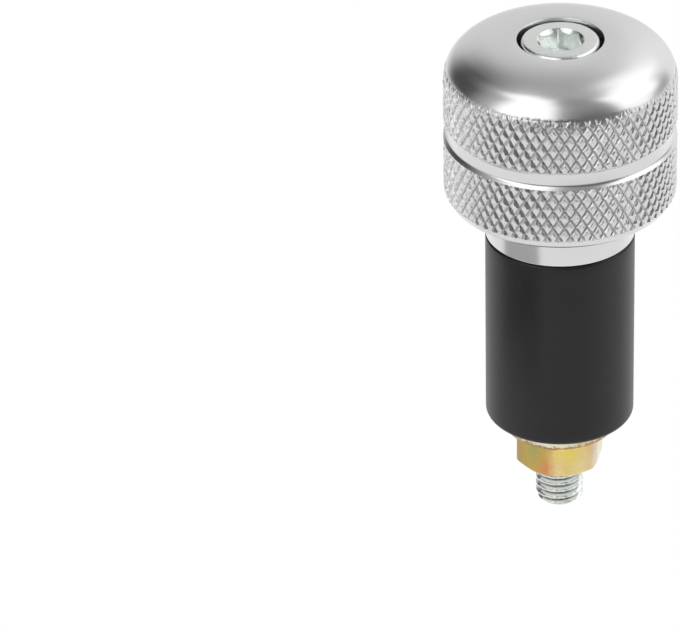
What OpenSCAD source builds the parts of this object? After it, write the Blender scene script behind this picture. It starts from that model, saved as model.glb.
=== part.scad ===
// Handlebar end weight: a turned and knurled aluminium weight for the end of a handlebar tube. A long
// socket screw draws a flanged nut up against a rubber sleeve until the sleeve swells and grips the tube.
// The origin is on the axis, on the shoulder that butts against the end of the tube.
// +Z runs out of the tube, towards the domed nose.

/* [Weight] */
// Outside diameter over the knurled bands
weight_d = 29; // [27:0.5:34]
// Height from the shoulder to the top of the nose
weight_h = 22; // [21:0.1:30]
// Radius of the crown, between the nose land and the corner
crown_r = 13.2; // [11:0.2:16]
// Radius of the corner, where the crown turns down into the side
corner_r = 4.8; // [3:0.1:6]
// Width of the flat land round the mouth of the counterbore
land_w = 0.6; // [0.1:0.1:1]
// Chamfer on the lower edge
foot_chamfer = 1.35; // [0.6:0.05:2.5]

/* [Groove] */
// Height of the middle of the groove above the shoulder
groove_z = 9.9; // [8:0.1:11.5]
// Width of the groove at the knurled surface
groove_w = 2.4; // [1:0.1:4]
// Depth of the groove
groove_depth = 0.35; // [0.35:0.05:1]
// Run of each sloped wall of the groove, along the axis
groove_slope = 0.4; // [0.1:0.05:0.45]

/* [Knurl] */
// Number of diamonds round the weight
knurl_count = 64; // [32:1:72]
// Height of one diamond, along the axis
knurl_pitch = 2.35; // [1.8:0.05:4]
// Depth of the grooves between the diamonds
knurl_depth = 0.3; // [0.1:0.05:0.3]
// Width of the grooves between the diamonds, round the weight
knurl_groove_w = 0.6; // [0.4:0.02:0.8]

/* [Spigot] */
// Diameter of the spigot below the shoulder
spigot_d = 18.7; // [16:0.1:21]
// Length of the spigot
spigot_l = 5.2; // [3:0.1:12]
// Chamfer on the end of the spigot
spigot_chamfer = 0.3; // [0.1:0.1:1]

/* [Screw] */
// Thread diameter of the screw
screw_d = 6; // [5:0.5:7]
// Length of the screw below its head
screw_l = 60; // [56:1:80]
// Diameter of the head
head_d = 9.8; // [9:0.1:12]
// Height of the head
head_h = 6; // [5:0.5:8]
// Radius of the head's upper edge
head_edge_r = 0.5; // [0.2:0.1:1]
// Width of the hexagonal socket across its flats
socket_af = 5; // [4:0.5:6]
// Depth of the socket's flats
socket_depth = 3; // [2:0.5:4]
// Diameter of the drill point at the bottom of the socket
socket_drill_d = 3.8; // [2:0.1:3.9]
// Depth of the drill point below the flats
socket_point = 0.9; // [0.5:0.1:1.5]
// Amount by which the lead-in at the socket's mouth is wider than its corners
socket_lead = 0.12; // [0.02:0.02:0.6]
// Angle of the socket's first corner about the axis, in degrees
socket_turn = 35; // [0:1:59]
// Chamfer on the tip of the screw
tip_chamfer = 0.6; // [0.3:0.1:1]
// Depth of the head's top below the nose
head_recess = 0.1; // [0.1:0.1:2]

/* [Fits] */
// Radial gap between the head and the counterbore
head_gap = 0.5; // [0.2:0.1:0.8]
// Radial gap between the shank and the bores it passes through
shank_gap = 0.3; // [0.1:0.05:0.5]
// Radial gap between the nut's bore and the screw
thread_gap = 0.02; // [0.01:0.01:0.1]
// Chamfer round the mouth of the counterbore
mouth_chamfer = 0.1; // [0.1:0.05:0.5]

/* [Sleeve] */
// Diameter of the rubber sleeve
sleeve_d = 18.7; // [16:0.1:21]
// Length of the sleeve
sleeve_l = 25.9; // [15:0.1:28]
// Radius of the sleeve's outer edges
sleeve_edge_r = 0.7; // [0.2:0.1:2]

/* [Nut] */
// Width of the nut across its flats
nut_af = 10; // [9:0.5:12]
// Height of the nut with its flange
nut_h = 7.3; // [5.5:0.1:8]
// Diameter of the flange
flange_d = 14.2; // [13.8:0.2:16]
// Thickness of the flange at its rim
flange_rim = 1.9; // [0.8:0.1:2]
// Height of the cone between the rim and the flats
flange_cone = 1.1; // [0.5:0.1:1.5]
// Diameter of the nut's end face, inside the chamfer on its corners
nut_face_d = 9.4; // [8:0.1:9.8]
// Chamfer at each end of the nut's bore
nut_bore_chamfer = 0.4; // [0.2:0.1:0.8]
// Angle of the nut's first corner about the axis, in degrees
nut_turn = 15; // [0:1:59]

/* [Hidden] */
$fn = 96;

// Cuts and trimming solids run past the surfaces that they meet by this much.
overrun = 1;
// The knurl's roots stay this far outside the surfaces that trim its ends.
knurl_clear = 0.05;
// Straight steps in one turned arc
arc_steps = 12;
// Slope of the chamfer on the nut's corners, in degrees
nut_chamfer_angle = 30;

weight_r = weight_d / 2;
spigot_r = spigot_d / 2;
screw_r = screw_d / 2;
head_r = head_d / 2;
sleeve_r = sleeve_d / 2;
flange_r = flange_d / 2;
mouth_r = head_r + head_gap;
land_r = mouth_r + mouth_chamfer + land_w;
bore_r = screw_r + shank_gap;

// Where each piece seats along the axis
seat_z = weight_h - head_recess - head_h;
sleeve_top_z = -spigot_l;
nut_top_z = sleeve_top_z - sleeve_l;
nut_end_z = nut_top_z - nut_h;
tip_z = seat_z - screw_l;

// Dome: the corner arc is tangent to the side and to the crown, and the crown to the land.
crown_z = weight_h - crown_r;
corner_x = weight_r - corner_r;
corner_z = crown_z + sqrt(pow(crown_r - corner_r, 2) - pow(corner_x - land_r, 2));
crown_end_angle = atan2(corner_z - crown_z, corner_x - land_r);

// Knurl: each diamond is a pyramid whose tip the turned surface trims flat.
knurl_step = 360 / knurl_count;
root_r = weight_r - knurl_depth;
groove_share = knurl_groove_w / (PI * weight_d / knurl_count);
tip_r = root_r + knurl_depth / groove_share;
knurl_low_z = foot_chamfer - knurl_depth - knurl_clear;
knurl_end_z = corner_z + sqrt(pow(corner_r, 2) - pow(corner_r - knurl_depth - knurl_clear, 2));
knurl_rows = ceil((knurl_end_z - knurl_low_z) / knurl_pitch);
knurl_last = 2 * knurl_rows;

function arc(x, z, r, from, to) =
    [for (i = [0:arc_steps]) let (a = from + (to - from) * i / arc_steps) [x + r * cos(a), z + r * sin(a)]];

// Half rows of the knurl, counted from 0 up to knurl_last, with a plain level below and above them.
// In an odd half row, the roots are turned by half a step.
function is_odd(level) = level < 0 || level > knurl_last ? 0 : level % 2;
function level_z(level) = level < 0 ? -spigot_l - overrun
    : level > knurl_last ? weight_h + overrun
    : knurl_low_z + level * knurl_pitch / 2;
function ring(r, z, turn) =
    [for (i = [0:knurl_count - 1]) let (a = (i + turn) * knurl_step) [r * cos(a), r * sin(a), z]];
function root(level, i) = 2 * (level + 1) * knurl_count + (i + knurl_count) % knurl_count;
function tip(level, i) = root(level, i) + knurl_count;
function left_root(level, i) = root(level, i - is_odd(level));
function right_root(level, i) = root(level, i + 1 - is_odd(level));
function outline(level) = [for (i = [0:knurl_count - 1]) each [root(level, i), tip(level, i)]];
function reverse(list) = [for (i = [len(list) - 1:-1:0]) list[i]];
function wall(low, high) =
    [for (i = [0:len(low) - 1]) let (next = (i + 1) % len(low)) [low[i], high[i], high[next], low[next]]];

// A round bar with the diamond knurl on its side, plain at both ends and larger than the weight
module knurled_bar() {
    polyhedron(
        points = [for (level = [-1:knurl_last + 1]) each concat(
            ring(root_r, level_z(level), is_odd(level) / 2),
            ring(tip_r, level_z(level), (1 - is_odd(level)) / 2))],
        faces = concat(
            [for (level = [0:knurl_last - 1], i = [0:knurl_count - 1]) each [
                [tip(level, i), left_root(level, i), root(level + 1, i)],
                [tip(level, i), root(level + 1, i), right_root(level, i)]]],
            [for (level = [1:knurl_last], i = [0:knurl_count - 1]) each [
                [tip(level, i), root(level - 1, i), left_root(level, i)],
                [tip(level, i), right_root(level, i), root(level - 1, i)]]],
            wall(outline(-1), outline(0)),
            wall(outline(knurl_last), outline(knurl_last + 1)),
            [outline(-1), reverse(outline(knurl_last + 1))]));
}

// The weight as it leaves the lathe: dome, groove, chamfers, spigot, stepped bore
module turned_blank() {
    groove_low = groove_z - groove_w / 2;
    groove_high = groove_z + groove_w / 2;
    rotate_extrude() polygon(concat(
        [[bore_r, -spigot_l], [spigot_r - spigot_chamfer, -spigot_l],
         [spigot_r, -spigot_l + spigot_chamfer], [spigot_r, 0],
         [weight_r - foot_chamfer, 0], [weight_r, foot_chamfer],
         [weight_r, groove_low], [weight_r - groove_depth, groove_low + groove_slope],
         [weight_r - groove_depth, groove_high - groove_slope], [weight_r, groove_high]],
        arc(corner_x, corner_z, corner_r, 0, crown_end_angle),
        arc(land_r, crown_z, crown_r, crown_end_angle, 90),
        [[mouth_r + mouth_chamfer, weight_h], [mouth_r, weight_h - mouth_chamfer],
         [mouth_r, seat_z], [bore_r, seat_z]]));
}

module end_weight() {
    color("silver") intersection() {
        turned_blank();
        knurled_bar();
    }
}

module cap_screw() {
    socket_r = socket_af / 2 / cos(30);
    mouth_d = 2 * socket_r + socket_lead;
    head_top_z = seat_z + head_h;
    socket_end_z = head_top_z - socket_depth;
    color("gainsboro") difference() {
        rotate_extrude() polygon(concat(
            [[0, tip_z], [screw_r - tip_chamfer, tip_z], [screw_r, tip_z + tip_chamfer],
             [screw_r, seat_z], [head_r, seat_z]],
            arc(head_r - head_edge_r, head_top_z - head_edge_r, head_edge_r, 0, 90),
            [[0, head_top_z]]));
        rotate(socket_turn) translate([0, 0, socket_end_z])
            cylinder(r = socket_r, h = socket_depth + overrun, $fn = 6);
        translate([0, 0, socket_end_z - socket_point])
            cylinder(r1 = 0, r2 = socket_drill_d / 2, h = socket_point);
        translate([0, 0, head_top_z - mouth_d / 2])
            cylinder(r1 = 0, r2 = mouth_d / 2 + overrun, h = mouth_d / 2 + overrun);
    }
}

module rubber_sleeve() {
    color("dimgray") rotate_extrude() polygon(concat(
        [[bore_r, nut_top_z]],
        arc(sleeve_r - sleeve_edge_r, nut_top_z + sleeve_edge_r, sleeve_edge_r, -90, 0),
        arc(sleeve_r - sleeve_edge_r, sleeve_top_z - sleeve_edge_r, sleeve_edge_r, 0, 90),
        [[bore_r, sleeve_top_z]]));
}

// The union is the nut's solid form, and what it meets is a turned envelope with the threaded bore.
module flange_nut() {
    hex_r = nut_af / 2 / cos(30);
    face_r = nut_face_d / 2;
    bore = screw_r + thread_gap;
    clear_r = hex_r + overrun;
    clear_z = nut_end_z + (clear_r - face_r) * tan(nut_chamfer_angle);
    rim_z = nut_top_z - flange_rim;
    color("goldenrod") intersection() {
        union() {
            rotate(nut_turn) translate([0, 0, nut_end_z]) cylinder(r = hex_r, h = nut_h, $fn = 6);
            rotate_extrude() polygon([[0, nut_top_z], [flange_r, nut_top_z], [flange_r, rim_z],
                [face_r, rim_z - flange_cone], [0, rim_z - flange_cone]]);
        }
        rotate_extrude() polygon([[bore + nut_bore_chamfer, nut_end_z], [face_r, nut_end_z],
            [clear_r, clear_z], [flange_r + overrun, clear_z], [flange_r + overrun, nut_top_z],
            [bore + nut_bore_chamfer, nut_top_z], [bore, nut_top_z - nut_bore_chamfer],
            [bore, nut_end_z + nut_bore_chamfer]]);
    }
}

end_weight();
cap_screw();
rubber_sleeve();
flange_nut();
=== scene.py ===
"""A handlebar end weight: knurled aluminium, a long socket screw, a rubber sleeve and a flanged nut."""
import math

import bmesh
import bpy
import numpy as np
from mathutils import Matrix, Vector


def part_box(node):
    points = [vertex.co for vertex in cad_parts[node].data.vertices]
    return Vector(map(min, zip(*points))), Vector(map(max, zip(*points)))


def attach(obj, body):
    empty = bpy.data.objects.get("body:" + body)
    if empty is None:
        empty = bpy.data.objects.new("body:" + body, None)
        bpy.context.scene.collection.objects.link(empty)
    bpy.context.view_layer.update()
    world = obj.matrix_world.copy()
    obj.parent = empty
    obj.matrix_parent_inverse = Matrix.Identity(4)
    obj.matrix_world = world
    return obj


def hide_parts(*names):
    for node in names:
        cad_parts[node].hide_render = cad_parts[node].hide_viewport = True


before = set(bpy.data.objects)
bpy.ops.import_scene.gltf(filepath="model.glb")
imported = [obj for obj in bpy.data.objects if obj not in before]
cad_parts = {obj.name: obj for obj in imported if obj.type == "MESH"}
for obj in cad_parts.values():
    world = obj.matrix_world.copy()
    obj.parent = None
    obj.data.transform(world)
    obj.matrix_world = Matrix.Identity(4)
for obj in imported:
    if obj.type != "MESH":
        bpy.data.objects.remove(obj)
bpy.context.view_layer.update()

# End weight
# One bar of aluminium, turned to a dome, polished, and knurled in two bands with a plain groove between
# them. A spigot below the shoulder centres it in the handlebar tube.
MM = 0.001


def reach(node):
    """A turned node's outer radius, lowest height and highest height, in millimetres, from the frame."""
    low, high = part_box(node)
    return high.x / MM, low.z / MM, high.z / MM


WEIGHT_R, SPIGOT_END_Z, WEIGHT_H = reach("end_weight")
CROWN_R, CORNER_R, LAND_W = 13.2, 4.8, 0.6
MOUTH_R, MOUTH_CHAMFER = 5.4, 0.1
FOOT_R, FOOT_END_DEG, SHOULDER_R = 1.14, -20, 12.9
BAND_R, BAND_Z, KNURL_END_Z = 14.16, 1.26, 1.45
GROOVE_LOW, GROOVE_HIGH, GROOVE_DEPTH, GROOVE_SLOPE = 8.7, 11.1, 0.42, 0.36
GROOVE_FILLET, GROOVE_LIP, GROOVE_EDGE = 0.28, 0.03, 0.2
SPIGOT_R, SPIGOT_CHAMFER, SPIGOT_EDGE = 9.35, 0.3, 0.06
SEAT_Z, BORE_R = 15.9, 3.3
KNURL_COUNT, KNURL_PITCH, KNURL_LOW_Z, KNURL_RUN_OUT = 64, 2.35, 1.0, 2
KNURL_DEPTH, KNURL_GROOVE_W, KNURL_ROUGHNESS, KNURL_SEED = 0.32, 0.66, 0.06, 3
KNURL_SAMPLES, KNURL_ROW_GAP = 10, 0.05
OUTSIDE_R, KNURL_TOP_Z = SPIGOT_R + 1, WEIGHT_H - 2
MARGIN = 0.01
LAND_R = MOUTH_R + MOUTH_CHAMFER + LAND_W
CROWN_Z, CORNER_X = WEIGHT_H - CROWN_R, WEIGHT_R - CORNER_R
CORNER_Z = CROWN_Z + math.sqrt((CROWN_R - CORNER_R) ** 2 - (CORNER_X - LAND_R) ** 2)


def arc(x, z, r, start, end, steps):
    """Points of an arc: centre plus r times (cos, sin) of equal steps from start to end, in degrees."""
    a = np.radians(np.linspace(start, end, steps + 1))
    return np.stack([x + r * np.cos(a), z + r * np.sin(a)], 1)


def straight(r, heights):
    """Points of a line parallel to the axis: radius r at each of those heights."""
    return np.stack([np.full(len(heights), r), heights], 1)


def rounded(points, steps=3):
    """An outline whose corners are rounded: each point (x, z, r) with r above 0 becomes a curve of that
    reach. The curve is a quadratic one, from r before the corner to r past it, pulled towards the corner."""
    out = []
    for i, (x, z, r) in enumerate(points):
        corner = np.array([x, z])
        if r == 0:
            out.append(corner[None])
            continue
        before, after = np.array(points[i - 1][:2]) - corner, np.array(points[i + 1][:2]) - corner
        first = corner + before / np.hypot(*before) * r
        last = corner + after / np.hypot(*after) * r
        t = np.linspace(0, 1, steps + 1)[:, None]
        out.append((1 - t) ** 2 * first + 2 * t * (1 - t) * corner + t ** 2 * last)
    return np.concatenate(out)


def surface(name, points, close_rows=False, flip=None):
    """A mesh on a grid of points, rows by columns, in millimetres. Columns close round the axis, and rows
    close if asked. A cell is cut along its other diagonal where flip is true."""
    rows, columns = points.shape[:2]
    index = np.arange(rows * columns).reshape(rows, columns)
    if close_rows:
        index = np.concatenate([index, index[:1]])
    low, high = index[:-1], index[1:]
    a, b, c, d = low, np.roll(low, -1, 1), np.roll(high, -1, 1), high
    if flip is None:
        faces = np.stack([a, b, c, d], -1).reshape(-1, 4)
    else:
        pick = flip[..., None]
        one = np.where(pick, np.stack([a, b, d], -1), np.stack([a, b, c], -1))
        two = np.where(pick, np.stack([b, c, d], -1), np.stack([a, c, d], -1))
        faces = np.concatenate([one.reshape(-1, 3), two.reshape(-1, 3)])
    mesh = bpy.data.meshes.new(name)
    mesh.from_pydata((points.reshape(-1, 3) * MM).tolist(), [], faces.tolist())
    mesh.update()
    obj = bpy.data.objects.new(name, mesh)
    bpy.context.scene.collection.objects.link(obj)
    return obj


def turned(profile, columns, radius=None):
    """Points of a turned form: each profile point (r, z) goes round the axis in equal steps of angle.
    radius, where given, changes r by angle and height."""
    angle = np.linspace(0, 2 * np.pi, columns, endpoint=False)[None, :]
    r = np.repeat(profile[:, :1], columns, 1)
    z = np.repeat(profile[:, 1:], columns, 1)
    if radius is not None:
        r = radius(r, z, angle)
    return np.stack([r * np.cos(angle), r * np.sin(angle), z], -1)


def shade(obj, sharp_angle):
    """Smooth shading, with edges sharper than that angle, in degrees, kept crisp."""
    obj.data.polygons.foreach_set("use_smooth", [True] * len(obj.data.polygons))
    obj.data.set_sharp_from_angle(angle=math.radians(sharp_angle))


def knurl_cell(z, angle):
    """Where a point lies between the two families of knurl grooves: its distance from the nearest groove of
    each family, as a share of the spacing, from 0 in the groove to a half midway."""
    turn, rise = angle / (2 * np.pi) * KNURL_COUNT, (z - KNURL_LOW_Z) / KNURL_PITCH
    return [np.abs(line - np.round(line)) for line in (turn + rise, turn - rise)]


def knurl(r, z, angle):
    """The radius with the knurl rolled in: grooves with straight flanks, KNURL_DEPTH deep and KNURL_GROOVE_W
    wide, or the turned form where that is lower, so that the grooves run out on the dome. The plain groove's
    lower lip is turned clean. The rolled metal is a little torn, by up to KNURL_ROUGHNESS."""
    half_share = KNURL_GROOVE_W / (2 * np.pi * WEIGHT_R / KNURL_COUNT) / 2
    near = np.minimum(*knurl_cell(z, angle))
    cut = WEIGHT_R - KNURL_DEPTH * np.clip(1 - near / half_share, 0, 1)
    clean = (z > GROOVE_LOW - MARGIN) & (z < (GROOVE_LOW + GROOVE_HIGH) / 2)
    band = (z > BAND_Z) & (r > OUTSIDE_R) & (z < KNURL_TOP_Z) & ~clean
    rolled = r > WEIGHT_R - KNURL_DEPTH - 2 * MARGIN
    torn = KNURL_ROUGHNESS * np.random.default_rng(KNURL_SEED).random(r.shape) * rolled
    return np.where(band, np.minimum(r, cut) - torn, r)


def weight_profile():
    """The weight's section as a closed line (r, z): up the spigot, the rounded foot, the bands and the
    groove, over the dome, and down the counterbore and the bore. In the bands, points are a tenth of a
    diamond apart."""
    turn = math.degrees(math.atan2(CORNER_Z - CROWN_Z, CORNER_X - LAND_R))
    step = KNURL_PITCH / KNURL_SAMPLES
    levels = KNURL_LOW_Z + step * np.arange(int(WEIGHT_H / step))
    wall = WEIGHT_R - GROOVE_DEPTH
    gap = KNURL_ROW_GAP
    low_band = levels[(levels > KNURL_END_Z + gap) & (levels < GROOVE_LOW - gap)]
    high_band = levels[(levels > GROOVE_HIGH + gap) & (levels < CORNER_Z - gap)]
    run_out = levels[(levels > CORNER_Z) & (levels < CORNER_Z + KNURL_RUN_OUT)]
    dome_x = CORNER_X + np.sqrt(CORNER_R ** 2 - (run_out - CORNER_Z) ** 2)
    start = math.degrees(math.asin((run_out[-1] - CORNER_Z) / CORNER_R))
    end_r = SPIGOT_R - SPIGOT_CHAMFER
    spigot = rounded([(end_r - 1, SPIGOT_END_Z, 0), (end_r, SPIGOT_END_Z, SPIGOT_EDGE),
                      (SPIGOT_R, SPIGOT_CHAMFER + SPIGOT_END_Z, SPIGOT_EDGE), (SPIGOT_R, 0, 0)])
    groove = rounded([(WEIGHT_R, GROOVE_LOW - GROOVE_EDGE, 0), (WEIGHT_R, GROOVE_LOW, GROOVE_LIP),
                      (wall, GROOVE_LOW + GROOVE_SLOPE, GROOVE_FILLET),
                      (wall, GROOVE_HIGH - GROOVE_SLOPE, GROOVE_FILLET),
                      (WEIGHT_R, GROOVE_HIGH, GROOVE_LIP), (WEIGHT_R, GROOVE_HIGH + GROOVE_EDGE, 0)], 6)[1:-1]
    return np.concatenate([
        [[BORE_R, SPIGOT_END_Z]], spigot,
        arc(SHOULDER_R, FOOT_R, FOOT_R, -90, FOOT_END_DEG, 10),
        [[BAND_R, BAND_Z], [WEIGHT_R, KNURL_END_Z]],
        straight(WEIGHT_R, low_band),
        groove,
        straight(WEIGHT_R, high_band),
        np.stack([dome_x, run_out], 1),
        arc(CORNER_X, CORNER_Z, CORNER_R, start, turn, 14)[1:],
        arc(LAND_R, CROWN_Z, CROWN_R, turn, 90, 14)[1:],
        rounded([(LAND_R, WEIGHT_H, 0), (MOUTH_R, WEIGHT_H, MOUTH_CHAMFER), (MOUTH_R, SEAT_Z, 0)])[1:],
        [[BORE_R, SEAT_Z]]])


def weight_mesh():
    """The turned section with the knurl cut in. Each cell is cut along the groove nearest to it."""
    profile = weight_profile()
    columns = KNURL_COUNT * KNURL_SAMPLES
    points = turned(profile, columns, knurl)
    middle = (np.arange(columns) + 0.5)[None, :] / columns * 2 * np.pi
    height = ((profile[:, 1] + np.roll(profile[:, 1], -1)) / 2)[:, None]
    rising, falling = knurl_cell(np.repeat(height, columns, 1), np.repeat(middle, len(profile), 0))
    return surface("end_weight_turned", points, close_rows=True, flip=falling > rising)


weight = weight_mesh()
shade(weight, 28)


def new_material(name, **inputs):
    """A Principled material with those sockets set, and its node tree."""
    material = bpy.data.materials.new(name)
    material.use_nodes = True
    shader = material.node_tree.nodes["Principled BSDF"]
    for socket, value in inputs.items():
        shader.inputs[socket.replace("_", " ")].default_value = value
    return material, material.node_tree, shader


def add(tree, kind, values=None, **settings):
    """A node of that kind, with its properties and its inputs' values set."""
    node = tree.nodes.new(kind)
    for key, value in settings.items():
        setattr(node, key, value)
    for key, value in (values or {}).items():
        node.inputs[key].default_value = value
    return node


def maths(tree, operation, *terms):
    """The result of a Math node: each term is a number or another node's output."""
    node = add(tree, "ShaderNodeMath", operation=operation)
    for socket, term in zip(node.inputs, terms):
        if isinstance(term, (int, float)):
            socket.default_value = term
        else:
            tree.links.new(term, socket)
    return node.outputs["Value"]


def place(tree):
    """Object coordinates."""
    return add(tree, "ShaderNodeTexCoord").outputs["Object"]


def noise(tree, vector, scale, detail, roughness=0.5):
    """The value of a noise of so many features to the metre."""
    node = add(tree, "ShaderNodeTexNoise", {"Scale": scale, "Detail": detail, "Roughness": roughness})
    tree.links.new(vector, node.inputs["Vector"])
    return node.outputs["Fac"]


def ramp(tree, factor, stops):
    """The colours of stops, (position, colour), along factor."""
    node = add(tree, "ShaderNodeValToRGB")
    points = node.color_ramp.elements
    while len(points) < len(stops):
        points.new(0.5)
    for point, (position, colour) in zip(points, stops):
        point.position = position
        point.color = (*colour, 1)
    tree.links.new(factor, node.inputs["Fac"])
    return node.outputs["Color"]


def remap(tree, value, low, high, to_low, to_high):
    """value, taken from the range low to high onto the range to_low to to_high, and held at its ends."""
    node = add(tree, "ShaderNodeMapRange",
               {"From Min": low, "From Max": high, "To Min": to_low, "To Max": to_high})
    tree.links.new(value, node.inputs["Value"])
    return node.outputs["Result"]


def bump(tree, shader, height, distance):
    """height, times distance in metres, as a bump on the shader's normal."""
    node = add(tree, "ShaderNodeBump", {"Strength": 1.0, "Distance": distance})
    tree.links.new(height, node.inputs["Height"])
    tree.links.new(node.outputs["Normal"], shader.inputs["Normal"])


def turning(tree):
    """Distance from the axis and height, as a vector: what follows it runs round as turning lines do."""
    split = add(tree, "ShaderNodeSeparateXYZ")
    tree.links.new(place(tree), split.inputs["Vector"])
    square = [maths(tree, "MULTIPLY", split.outputs[k], split.outputs[k]) for k in "XY"]
    join = add(tree, "ShaderNodeCombineXYZ")
    tree.links.new(maths(tree, "SQRT", maths(tree, "ADD", *square)), join.inputs["X"])
    tree.links.new(split.outputs["Z"], join.inputs["Y"])
    return join.outputs["Vector"]


def polished_aluminium():
    """Satin polished aluminium: faint turning lines, and a torn, grainy skin where the knurl was rolled. The
    knurl's grooves have painted shade: their colour is darker towards the bottom."""
    material, tree, shader = new_material("polished_aluminium", Metallic=1.0)
    # Painted shade: the colour darkens from the diamonds' tops to the bottom of the knurl's grooves, where
    # the grooves shade themselves.
    sunk = add(tree, "ShaderNodeAttribute", attribute_name="sunk").outputs["Fac"]
    colour = ramp(tree, sunk, [(0.4, (0.88, 0.88, 0.882)), (0.95, (0.66, 0.66, 0.66))])
    tree.links.new(colour, shader.inputs["Base Color"])
    lines = noise(tree, turning(tree), 9000, 2, 0.6)
    grain = noise(tree, place(tree), 4200, 3, 0.7)
    torn = add(tree, "ShaderNodeAttribute", attribute_name="knurled").outputs["Fac"]
    rougher = maths(tree, "MULTIPLY", torn, 0.03)
    roughness = maths(tree, "ADD", remap(tree, lines, 0.3, 0.7, 0.2, 0.24), rougher)
    tree.links.new(roughness, shader.inputs["Roughness"])
    height = maths(tree, "ADD", maths(tree, "MULTIPLY", lines, 0.03), maths(tree, "MULTIPLY", grain, torn))
    bump(tree, shader, height, 0.000024)
    return material


def mark_knurl(obj):
    """Two values on each point, for the material: "knurled" is 1 in the knurled bands and 0 elsewhere, and
    "sunk" goes from 0 on the diamonds' tops to 1 at the bottom of a groove, where the material paints shade."""
    points = np.empty(len(obj.data.vertices) * 3)
    obj.data.vertices.foreach_get("co", points)
    x, y, z = points.reshape(-1, 3).T / MM
    r = np.hypot(x, y)
    on_dome = np.clip(z - CORNER_Z, 0, CORNER_R)
    top_r = CORNER_X + np.sqrt(CORNER_R ** 2 - on_dome ** 2)
    dome_end = CORNER_Z + math.sqrt(CORNER_R ** 2 - (CORNER_R - KNURL_DEPTH) ** 2)
    band = ((z > BAND_Z + MARGIN) & (z < GROOVE_LOW)) | ((z > GROOVE_HIGH) & (z < dome_end))
    knurled = (band & (r > OUTSIDE_R)).astype(float)
    sunk = knurled * np.clip((top_r - r) / KNURL_DEPTH, 0, 1)
    for name, values in (("knurled", knurled), ("sunk", sunk)):
        obj.data.attributes.new(name, "FLOAT", "POINT").data.foreach_set("value", values)


mark_knurl(weight)
weight.data.materials.append(polished_aluminium())
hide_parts("end_weight")
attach(weight, "root")

# Cap screw
# A long M6 socket cap screw of zinc plated steel. Its head sits in the counterbore, and its thread draws the
# nut up against the sleeve.
HEAD_R, TIP_Z, HEAD_TOP_Z = reach("cap_screw")
SCREW_R, TIP_CHAMFER, HEAD_EDGE_R = 3.0, 0.6, 0.5
SOCKET_AF, SOCKET_DEPTH, SOCKET_POINT, SOCKET_DRILL_R, SOCKET_TURN = 5.0, 3.0, 0.9, 1.9, 35
SOCKET_MOUTH_R = 2.95
THREAD_PITCH, THREAD_DEPTH, THREAD_TOP_Z = 1.0, 0.61, -20.0
THREAD_HALF_CREST_SHARE, THREAD_FLANK_SHARE, THREAD_SAMPLES = 0.12, 0.31, 14
SCREW_COLUMNS, JOIN_GAP = 120, 0.001


def soft_min(a, b, blend):
    """The smaller of a and b, rounded by a parabola where they differ by less than blend."""
    near = np.clip(1 - np.abs(a - b) / blend, 0, 1)
    return np.minimum(a, b) - near ** 2 * blend / 4


def hexagon_radius(angle, flats, turn, corner=0.0):
    """Distance from the axis to a hexagon of that width across flats, whose first corner is at turn degrees.
    With corner above 0, the corners are rounded by a soft minimum of that reach."""
    from_corner = (np.degrees(angle) - turn) % 60
    r = flats / 2 / np.cos(np.radians(from_corner - 30))
    if corner:
        limit = flats / 2 / math.cos(math.radians(30)) - corner
        r = soft_min(r, limit, corner)
    return r


def thread(r, z, angle):
    """The radius of a right-hand thread: flat crests and roots with flanks between them, by the height above
    the helix that climbs THREAD_PITCH a turn. It fades into the plain shank above THREAD_TOP_Z."""
    phase = (z / THREAD_PITCH - angle / (2 * np.pi)) % 1
    flank = np.clip((np.abs(phase - 0.5) - THREAD_HALF_CREST_SHARE) / THREAD_FLANK_SHARE, 0, 1)
    fade = np.clip((THREAD_TOP_Z - z) / THREAD_PITCH, 0, 1)
    cut = SCREW_R - THREAD_DEPTH * flank * fade
    return np.where(z < SEAT_Z - 1, np.minimum(r, cut), r)


def screw_mesh():
    """Tip, thread, shank and head in one profile, and the socket with its lead-in and drill point."""
    columns = SCREW_COLUMNS
    thread_z = np.arange(TIP_Z + TIP_CHAMFER, THREAD_TOP_Z, THREAD_PITCH / THREAD_SAMPLES)
    chamfer_z = np.linspace(TIP_Z, TIP_Z + TIP_CHAMFER, 9)[:-1]
    body = np.concatenate([
        [[0.0, TIP_Z]],
        np.stack([SCREW_R - TIP_CHAMFER + chamfer_z - TIP_Z, chamfer_z], 1),
        straight(SCREW_R, thread_z),
        [[SCREW_R, THREAD_TOP_Z], [SCREW_R, SEAT_Z], [HEAD_R, SEAT_Z]],
        arc(HEAD_R - HEAD_EDGE_R, HEAD_TOP_Z - HEAD_EDGE_R, HEAD_EDGE_R, 0, 90, 8),
        [[SOCKET_MOUTH_R, HEAD_TOP_Z]]])
    outside = turned(body, columns, thread)
    angle = np.linspace(0, 2 * np.pi, columns, endpoint=False)
    flats = hexagon_radius(angle, SOCKET_AF, SOCKET_TURN)
    bottom_z = HEAD_TOP_Z - SOCKET_DEPTH
    lead = [SOCKET_MOUTH_R + (flats - SOCKET_MOUTH_R) * share for share in np.linspace(0.1, 1, 6)]
    rings = [np.stack([r, HEAD_TOP_Z - (SOCKET_MOUTH_R - r)]) for r in lead]
    rings.append(np.stack([flats, np.full(columns, bottom_z)]))
    for r, z in ((SOCKET_DRILL_R, bottom_z), (0, bottom_z - SOCKET_POINT)):
        rings.append(np.stack([np.full(columns, r), np.full(columns, z)]))
    rings = np.array(rings)
    inside = np.stack([rings[:, 0] * np.cos(angle), rings[:, 0] * np.sin(angle), rings[:, 1]], -1)
    return surface("cap_screw_threaded", np.concatenate([outside, inside]))


def merge(obj):
    """Joins points within JOIN_GAP of each other, such as those on the axis, and turns the faces outwards."""
    form = bmesh.new()
    form.from_mesh(obj.data)
    bmesh.ops.remove_doubles(form, verts=form.verts, dist=JOIN_GAP * MM)
    bmesh.ops.recalc_face_normals(form, faces=form.faces)
    form.to_mesh(obj.data)
    form.free()


screw = screw_mesh()
merge(screw)
shade(screw, 30)


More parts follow.
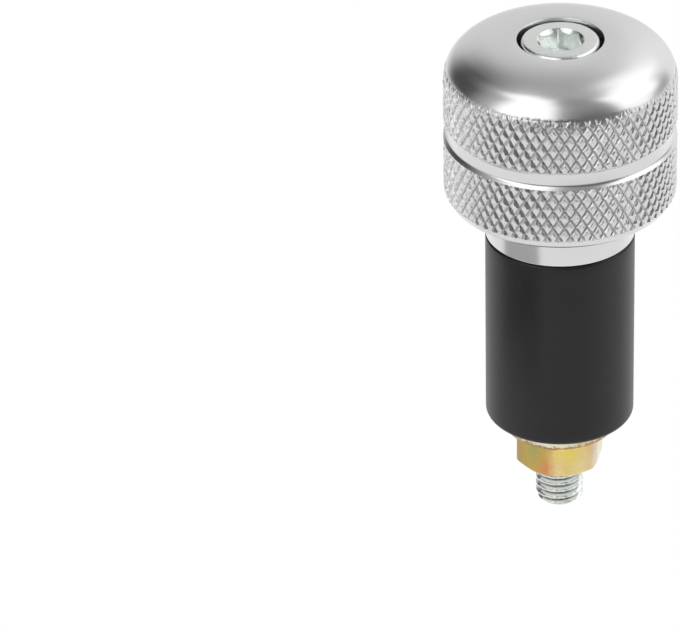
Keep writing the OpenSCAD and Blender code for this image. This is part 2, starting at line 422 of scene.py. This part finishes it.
def layer(tree, under, over, share):
    """One colour laid over another by share. The upper one is a colour or another node's output."""
    mix = add(tree, "ShaderNodeMix", data_type="RGBA")
    tree.links.new(share, mix.inputs["Factor"])
    tree.links.new(under, mix.inputs["A"])
    if isinstance(over, tuple):
        mix.inputs["B"].default_value = (*over, 1)
    else:
        tree.links.new(over, mix.inputs["B"])
    return mix.outputs["Result"]


def bright_zinc():
    """Bright zinc plate: nearly white metal with a faint green-blue cast and a soft, uneven gloss. The
    thread's roots are darkened with painted shade."""
    material, tree, shader = new_material("bright_zinc", Metallic=1.0)
    where = place(tree)
    patches = noise(tree, where, 700, 4, 0.6)
    colour = ramp(tree, patches, [(0.3, (0.86, 0.91, 0.89)), (0.7, (0.97, 0.98, 0.96))])
    split = add(tree, "ShaderNodeSeparateXYZ")
    tree.links.new(turning(tree), split.inputs["Vector"])
    # Painted shade: the colour darkens towards the thread's roots, below the head, where the thread shades
    # itself.
    root, near_crest = (SCREW_R - THREAD_DEPTH + 0.02) * MM, (SCREW_R - 0.3) * MM
    depth = remap(tree, split.outputs["X"], root, near_crest, 1, 0)
    below_head = remap(tree, split.outputs["Y"], -1 * MM, 0, 1, 0)
    colour = layer(tree, colour, (0.36, 0.37, 0.32), maths(tree, "MULTIPLY", depth, below_head))
    tree.links.new(colour, shader.inputs["Base Color"])
    waves = noise(tree, where, 1100, 3, 0.6)
    tree.links.new(remap(tree, patches, 0.3, 0.7, 0.12, 0.26), shader.inputs["Roughness"])
    bump(tree, shader, waves, 0.00006)
    return material


screw.data.materials.append(bright_zinc())
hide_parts("cap_screw")
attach(screw, "root")

# Rubber sleeve
# A moulded sleeve of black rubber on the screw's shank. When the screw draws the nut up, the sleeve swells
# and grips the inside of the handlebar tube.
SLEEVE_R, SLEEVE_LOW_Z, SLEEVE_TOP_Z = reach("rubber_sleeve")
SLEEVE_LOW_EDGE_R, SLEEVE_TOP_EDGE_R = 0.7, 0.25


def sleeve_mesh():
    """A closed section with rounded outer edges, turned round the axis."""
    low_edge, top_edge = SLEEVE_LOW_Z + SLEEVE_LOW_EDGE_R, SLEEVE_TOP_Z - SLEEVE_TOP_EDGE_R
    heights = np.linspace(low_edge, top_edge, 20)[1:-1]
    profile = np.concatenate([
        [[BORE_R, SLEEVE_LOW_Z]],
        arc(SLEEVE_R - SLEEVE_LOW_EDGE_R, low_edge, SLEEVE_LOW_EDGE_R, -90, 0, 10),
        straight(SLEEVE_R, heights),
        arc(SLEEVE_R - SLEEVE_TOP_EDGE_R, top_edge, SLEEVE_TOP_EDGE_R, 0, 90, 6),
        [[BORE_R, SLEEVE_TOP_Z]]])
    return surface("rubber_sleeve_moulded", turned(profile, 192), close_rows=True)


sleeve = sleeve_mesh()
shade(sleeve, 40)


def black_rubber():
    """Satin black rubber with a fine ground texture and a few pale specks of dust."""
    material, tree, shader = new_material("black_rubber", Specular_IOR_Level=0.5)
    where = place(tree)
    cloud = noise(tree, where, 260, 5, 0.6)
    colour = ramp(tree, cloud, [(0.3, (0.004, 0.004, 0.004)), (0.7, (0.008, 0.008, 0.008))])
    speck = add(tree, "ShaderNodeTexVoronoi", {"Scale": 260.0})
    tree.links.new(where, speck.inputs["Vector"])
    near = remap(tree, speck.outputs["Distance"], 0.03, 0.05, 1, 0)
    few = remap(tree, noise(tree, where, 130, 1), 0.6, 0.62, 0, 1)
    colour = layer(tree, colour, (0.16, 0.16, 0.16), maths(tree, "MULTIPLY", near, few))
    tree.links.new(colour, shader.inputs["Base Color"])
    grain = noise(tree, where, 4200, 4, 0.7)
    tree.links.new(remap(tree, grain, 0.3, 0.7, 0.3, 0.42), shader.inputs["Roughness"])
    bump(tree, shader, grain, 0.00001)
    return material


sleeve.data.materials.append(black_rubber())
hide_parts("rubber_sleeve")
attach(sleeve, "root")

# Flange nut
# An M6 hexagon nut with a flange, yellow passivated. Its flange bears on the rubber, and its hexagon points
# down the tube.
FLANGE_R, NUT_END_Z, NUT_TOP_Z = reach("flange_nut")
NUT_AF, NUT_TURN = 10.0, 15
FLANGE_RIM, FLANGE_CONE, NUT_FACE_R = 1.9, 1.1, 4.7
NUT_BORE_R, NUT_BORE_CHAMFER = 3.02, 0.4
NUT_CHAMFER_DEG, NUT_CHAMFER_H, FLANGE_EDGE = 30, 1.2, 0.2
CORNER_BLEND, CHAMFER_BLEND, CONE_BLEND = 0.12, 0.25, 0.5
RIM_EDGE_W, RIM_EDGE_H = 0.1, 0.15
# Heights between which one colour goes over into the next. The first and the last count from the nut's end,
# the others from the flange's rim.
# BROWN_CHANGE begins the painted shade under the flange, and PALE_CHANGE the painted highlight on its rim.
FILM_CHANGE, BROWN_CHANGE, PALE_CHANGE, FACE_CHANGE = (3.6, 1.2), (-1.1, -1.0), (0.3, 0.4), (0.02, 0)


def nut_radius(r, z, angle):
    """The larger of the flange's cone and the hexagon, and the hexagon is cut by the chamfer at its end.
    Both meets are softened, as the plating softens them."""
    hexagon = hexagon_radius(angle, NUT_AF, NUT_TURN, CORNER_BLEND)
    chamfer = NUT_FACE_R + (z - NUT_END_Z) / math.tan(math.radians(NUT_CHAMFER_DEG))
    hexagon = soft_min(hexagon, chamfer, CHAMFER_BLEND)
    return np.where(r < NUT_FACE_R, r, -soft_min(-r, -hexagon, CONE_BLEND))


def nut_mesh():
    """The flange's profile with the hexagon added to it, and the bore as the same closed line."""
    rim_z = NUT_TOP_Z - FLANGE_RIM
    slope = np.linspace(0, 1, 9)[1:]
    cone = np.stack([FLANGE_R - (FLANGE_R - NUT_FACE_R) * slope, rim_z - FLANGE_CONE * slope], 1)
    heights = np.concatenate([np.linspace(rim_z - FLANGE_CONE, NUT_END_Z + NUT_CHAMFER_H, 8)[1:-1],
                              np.linspace(NUT_END_Z + NUT_CHAMFER_H, NUT_END_Z, 14)])
    profile = np.concatenate([
        [[NUT_BORE_R + NUT_BORE_CHAMFER, NUT_TOP_Z], [FLANGE_R - FLANGE_EDGE, NUT_TOP_Z],
         [FLANGE_R, NUT_TOP_Z - FLANGE_EDGE], [FLANGE_R, rim_z + RIM_EDGE_H],
         [FLANGE_R - RIM_EDGE_W, rim_z - 2 * MARGIN]],
        cone,
        straight(NUT_FACE_R, heights),
        [[NUT_FACE_R - MARGIN, NUT_END_Z], [NUT_BORE_R + NUT_BORE_CHAMFER, NUT_END_Z],
         [NUT_BORE_R, NUT_END_Z + NUT_BORE_CHAMFER], [NUT_BORE_R, NUT_TOP_Z - NUT_BORE_CHAMFER]]])
    return surface("flange_nut_plated", turned(profile[::-1], 360, nut_radius), close_rows=True)


nut = nut_mesh()
shade(nut, 30)


def around(tree, start):
    """How far round the axis a point is, as a share of a turn, counted from start degrees."""
    split = add(tree, "ShaderNodeSeparateXYZ")
    turned_back = add(tree, "ShaderNodeMapping", {"Rotation": (0, 0, math.radians(180 - start))})
    tree.links.new(place(tree), turned_back.inputs["Vector"])
    tree.links.new(turned_back.outputs["Vector"], split.inputs["Vector"])
    angle = maths(tree, "ARCTAN2", split.outputs["Y"], split.outputs["X"])
    return maths(tree, "ADD", maths(tree, "DIVIDE", angle, 2 * math.pi), 0.5), split.outputs["Z"]


def yellow_zinc():
    """Yellow passivated zinc: the film's colour runs from olive through yellow to pink round the nut, with
    more orange and cream towards its end. That colour round the nut is partly the film's own and partly
    painted light, some faces lighter and some darker. The flange's rim is a pale painted highlight, and the
    cone under it has brown painted shade, with a ragged edge of specks where it meets the hexagon."""
    material, tree, shader = new_material("yellow_zinc", Metallic=1.0)
    # Partly painted light: the colour by angle round the nut is partly the film's own tint and partly lighter
    # and darker faces painted in.
    share, height = around(tree, 195)
    where = place(tree)
    cloud = maths(tree, "SUBTRACT", noise(tree, where, 420, 3, 0.5), 0.5)
    film = maths(tree, "ADD", share, maths(tree, "MULTIPLY", cloud, 0.03))
    upper = ramp(tree, film, [
        (0.00, (0.58, 0.39, 0.14)), (0.05, (0.60, 0.45, 0.13)), (0.09, (0.46, 0.45, 0.16)),
        (0.14, (0.62, 0.46, 0.12)), (0.165, (0.78, 0.52, 0.18)), (0.18, (1.0, 0.78, 0.27)),
        (0.24, (1.0, 0.82, 0.18)), (0.30, (0.98, 0.76, 0.30)), (0.335, (0.86, 0.62, 0.36)),
        (0.36, (0.60, 0.48, 0.36)), (0.42, (0.86, 0.78, 0.56)), (0.60, (1.0, 0.80, 0.28)),
        (0.80, (0.94, 0.68, 0.32)), (0.97, (0.60, 0.42, 0.15))])
    lower = ramp(tree, film, [
        (0.00, (0.56, 0.39, 0.18)), (0.07, (0.62, 0.47, 0.12)), (0.12, (0.72, 0.42, 0.13)),
        (0.15, (0.80, 0.33, 0.14)), (0.168, (0.92, 0.58, 0.24)), (0.19, (1.0, 0.80, 0.38)),
        (0.24, (1.0, 0.75, 0.30)), (0.29, (1.0, 0.83, 0.40)), (0.335, (0.94, 0.74, 0.44)),
        (0.36, (0.74, 0.60, 0.42)), (0.42, (0.96, 0.92, 0.74)), (0.60, (1.0, 0.72, 0.34)),
        (0.80, (0.98, 0.80, 0.42)), (0.97, (0.58, 0.40, 0.19))])
    wavy = maths(tree, "ADD", height, maths(tree, "MULTIPLY", cloud, 0.004))
    high, low = ((NUT_END_Z + z) * MM for z in FILM_CHANGE)
    colour = layer(tree, upper, lower, remap(tree, wavy, high, low, 0, 1))
    rough_edge = maths(tree, "MULTIPLY", maths(tree, "SUBTRACT", noise(tree, where, 2400, 3), 0.5), 0.0016)
    ragged = maths(tree, "ADD", height, rough_edge)
    rim, end = (NUT_TOP_Z - FLANGE_RIM) * MM, NUT_END_Z * MM
    mottled = maths(tree, "ADD", share, maths(tree, "MULTIPLY", cloud, 0.3))
    pale = ramp(tree, mottled, [
        (0.05, (0.66, 0.58, 0.42)), (0.15, (1.0, 0.94, 0.80)), (0.24, (1.0, 0.92, 0.72)),
        (0.28, (0.90, 0.72, 0.36)), (0.36, (0.80, 0.70, 0.44)), (1.0, (0.94, 0.86, 0.66))])
    # Painted shade in brown on the cone under the flange, with a ragged edge; then a painted highlight in
    # pale cream on the flange's rim; then the end face's own grey.
    for level, zero, (first, last), tint in ((ragged, rim, BROWN_CHANGE, (0.56, 0.36, 0.18)),
                                             (ragged, rim, PALE_CHANGE, pale),
                                             (height, end, FACE_CHANGE, (0.72, 0.70, 0.62))):
        cover = remap(tree, level, zero + first * MM, zero + last * MM, 0, 1)
        colour = layer(tree, colour, tint, cover)
    tree.links.new(colour, shader.inputs["Base Color"])
    grain = noise(tree, where, 1500, 4, 0.6)
    tree.links.new(remap(tree, grain, 0.3, 0.7, 0.22, 0.36), shader.inputs["Roughness"])
    bump(tree, shader, grain, 0.00002)
    return material


nut.data.materials.append(yellow_zinc())
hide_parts("flange_nut")
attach(nut, "root")

# Floor and lights
# A white floor under the screw's tip, which the camera sees. The part reflects a studio with a large soft
# box in front at the left, another at the right, walls from pale to dark between them, and a grey card.
FLOOR_R, FLOOR_COLUMNS = 4.0, 64
CARD_R, CARD_Z, CARD_AZIMUTHS, CARD_STEPS, CARD_LEVEL = 35, (-34, -15), (-88, -31), 15, 0.35
ROOM_LEVEL = 0.38
# Each row is one thing in the room: its middle, half its size and the width of its soft edges, in degrees of
# azimuth and elevation, and its brightness. A later row covers the earlier ones.
STUDIO = [
    ((22, -55), (150, 48), (16, 14), 0.78),   # the table, to the left, in front and to the right
    ((0, 4), (58, 11), (12, 6), 0.08),        # the dark strip at the table's far edge
    ((20, 58), (42, 26), (22, 16), 0.26),     # the wall above it
    ((180, 0), (34, 45), (20, 25), 0.68),     # the pale wall behind
    ((180, -35), (60, 22), (20, 12), 0.9),    # the table behind
    ((143, 15), (22, 30), (12, 15), 0.84),    # the pale wall behind, at the right
    ((-118, 16), (25, 24), (14, 14), 0.06),   # the dark opening at the left
    ((-134, 40), (20, 16), (18, 16), 0.07),   # and its upper part
    ((25, 12), (28, 26), (14, 20), 0.13),     # the dark between the two soft boxes
    ((4, 36), (4, 24), (14, 12), 0.34),       # the glow beside the left box
    ((-110, 74), (34, 6), (20, 8), 0.6),      # the ceiling above the opening
    ((-38, 36), (31, 27), (9, 8), 1.25),      # the left soft box
    ((-56, 66), (40, 12), (10, 7), 1.25),     # its top, which leans out
    ((-50, 12), (14, 10), (9, 6), 1.25),      # its foot
    ((-8, 1), (27, 11), (8, 5), 0.07),        # the dark under its right half
    ((88, 38), (28, 25), (6, 8), 1.25),       # the right soft box
    ((82, 12), (15, 13), (7, 8), 1.1),        # its foot
    ((120, 47), (27, 18), (10, 9), 1.2),      # its far half
    ((119, 3), (9, 12), (8, 8), 0.36)]        # the shade under that


def direction(azimuth, elevation):
    """The direction at that azimuth, counted to the right from the front, and that elevation, in degrees."""
    a, e = math.radians(azimuth), math.radians(elevation)
    return Vector((math.sin(a) * math.cos(e), -math.cos(a) * math.cos(e), math.sin(e)))


def glowing(name, level):
    """A material that shows one brightness and reflects nothing."""
    return new_material(name, Roughness=0.9, Base_Color=(0, 0, 0, 1), Specular_IOR_Level=0.0,
                        Emission_Color=(1, 1, 1, 1), Emission_Strength=level)[0]


def floor_plane():
    """A round white floor at the height of the screw's tip, which only the camera sees. What the part
    reflects of the table is in STUDIO."""
    floor = surface("floor", turned(np.array([[FLOOR_R / MM, TIP_Z], [1e-6, TIP_Z]]), FLOOR_COLUMNS))
    floor.data.materials.append(glowing("white_floor", 1.0))
    floor.visible_glossy = floor.visible_diffuse = floor.visible_shadow = False


def card():
    """A grey card bent round the left side, low down, which only reflections see. The spigot shows it, and
    the bands above look over it."""
    turn = np.radians(np.linspace(*CARD_AZIMUTHS, CARD_STEPS + 1))
    rows = [np.stack([CARD_R * np.sin(turn), -CARD_R * np.cos(turn), np.full(len(turn), z)], -1)
            for z in CARD_Z]
    low = np.arange(CARD_STEPS)
    high = low + len(turn)
    mesh = bpy.data.meshes.new("card")
    mesh.from_pydata((np.concatenate(rows) * MM).tolist(), [],
                     np.stack([low, low + 1, high + 1, high], -1).tolist())
    mesh.materials.append(glowing("grey_card", CARD_LEVEL))
    obj = bpy.data.objects.new("card", mesh)
    bpy.context.scene.collection.objects.link(obj)
    obj.visible_camera = obj.visible_diffuse = obj.visible_shadow = False


def patch(tree, level, azimuth, elevation, centre, half_size, soft, value):
    """The sky's level with one wall or lamp painted over it: a rectangle of azimuth and elevation with soft
    edges, all in degrees."""
    across = maths(tree, "WRAP", maths(tree, "SUBTRACT", azimuth, centre[0]), 180, -180)
    up = maths(tree, "SUBTRACT", elevation, centre[1])
    shares = []
    for offset, half, edge in ((across, half_size[0], soft[0]), (up, half_size[1], soft[1])):
        inside = add(tree, "ShaderNodeMapRange", {"From Min": half + edge, "From Max": half - edge},
                     interpolation_type="SMOOTHSTEP")
        tree.links.new(maths(tree, "ABSOLUTE", offset), inside.inputs["Value"])
        shares.append(inside.outputs["Result"])
    mix = add(tree, "ShaderNodeMix", {"B": value}, data_type="FLOAT")
    tree.links.new(level, mix.inputs["A"])
    tree.links.new(maths(tree, "MULTIPLY", *shares), mix.inputs["Factor"])
    return mix.outputs["Result"]


def room():
    """The studio as the part sees it, by azimuth from the front and elevation. The camera itself sees white
    past the floor."""
    world = bpy.data.worlds.new("studio")
    bpy.context.scene.world = world
    world.use_nodes = True
    tree = world.node_tree
    sky = tree.nodes["Background"]
    split = add(tree, "ShaderNodeSeparateXYZ")
    tree.links.new(add(tree, "ShaderNodeTexCoord").outputs["Generated"], split.inputs["Vector"])
    x, y, z = (split.outputs[k] for k in "XYZ")
    degrees = 180 / math.pi
    azimuth = maths(tree, "MULTIPLY", maths(tree, "ARCTAN2", x, maths(tree, "MULTIPLY", y, -1)), degrees)
    elevation = maths(tree, "MULTIPLY", maths(tree, "ARCSINE", z), degrees)
    level = add(tree, "ShaderNodeValue").outputs[0]
    level.default_value = ROOM_LEVEL
    for centre, half_size, soft, value in STUDIO:
        level = patch(tree, level, azimuth, elevation, centre, half_size, soft, value)
    tree.links.new(level, sky.inputs["Strength"])
    sky.inputs["Color"].default_value = (1, 1, 1, 1)
    white = add(tree, "ShaderNodeBackground", {"Color": (1, 1, 1, 1), "Strength": 1.0})
    ray = add(tree, "ShaderNodeLightPath")
    choose = add(tree, "ShaderNodeMixShader")
    tree.links.new(ray.outputs["Is Camera Ray"], choose.inputs["Fac"])
    tree.links.new(sky.outputs["Background"], choose.inputs[1])
    tree.links.new(white.outputs["Background"], choose.inputs[2])
    tree.links.new(choose.outputs["Shader"], tree.nodes["World Output"].inputs["Surface"])


floor_plane()
card()
room()
bpy.context.scene.view_settings.view_transform = "Standard"

# Camera
# A long lens, looking down at the weight from in front. The part stands to the right of the frame's middle.
FRAME_W, FRAME_H = 680, 631
LENS_PX = 6600
SCALE_PX = 8.04
ELEVATION, ROLL = 30.74, -1.0
ORIGIN_PX = (560.1, 194.5)


def camera():
    """Stands where the part's origin falls on ORIGIN_PX at SCALE_PX to the millimetre, looking down by
    ELEVATION."""
    ahead = -direction(0, ELEVATION)
    right = Vector((1, 0, 0))
    up = right.cross(ahead)
    tilt = Matrix.Rotation(math.radians(ROLL), 3, -ahead)
    right, up = tilt @ right, tilt @ up
    distance = LENS_PX / SCALE_PX * MM
    across = (ORIGIN_PX[0] - FRAME_W / 2) / SCALE_PX * MM
    above = (FRAME_H / 2 - ORIGIN_PX[1]) / SCALE_PX * MM
    data = bpy.data.cameras.new("camera")
    data.lens = LENS_PX / FRAME_W * data.sensor_width
    data.clip_start, data.clip_end = 0.05, 20
    viewer = bpy.data.objects.new("camera", data)
    axes = Matrix((right, up, -ahead)).transposed()
    stand = -(right * across + up * above + ahead * distance)
    viewer.matrix_world = Matrix.Translation(stand) @ axes.to_4x4()
    bpy.context.scene.collection.objects.link(viewer)
    bpy.context.scene.camera = viewer


camera()
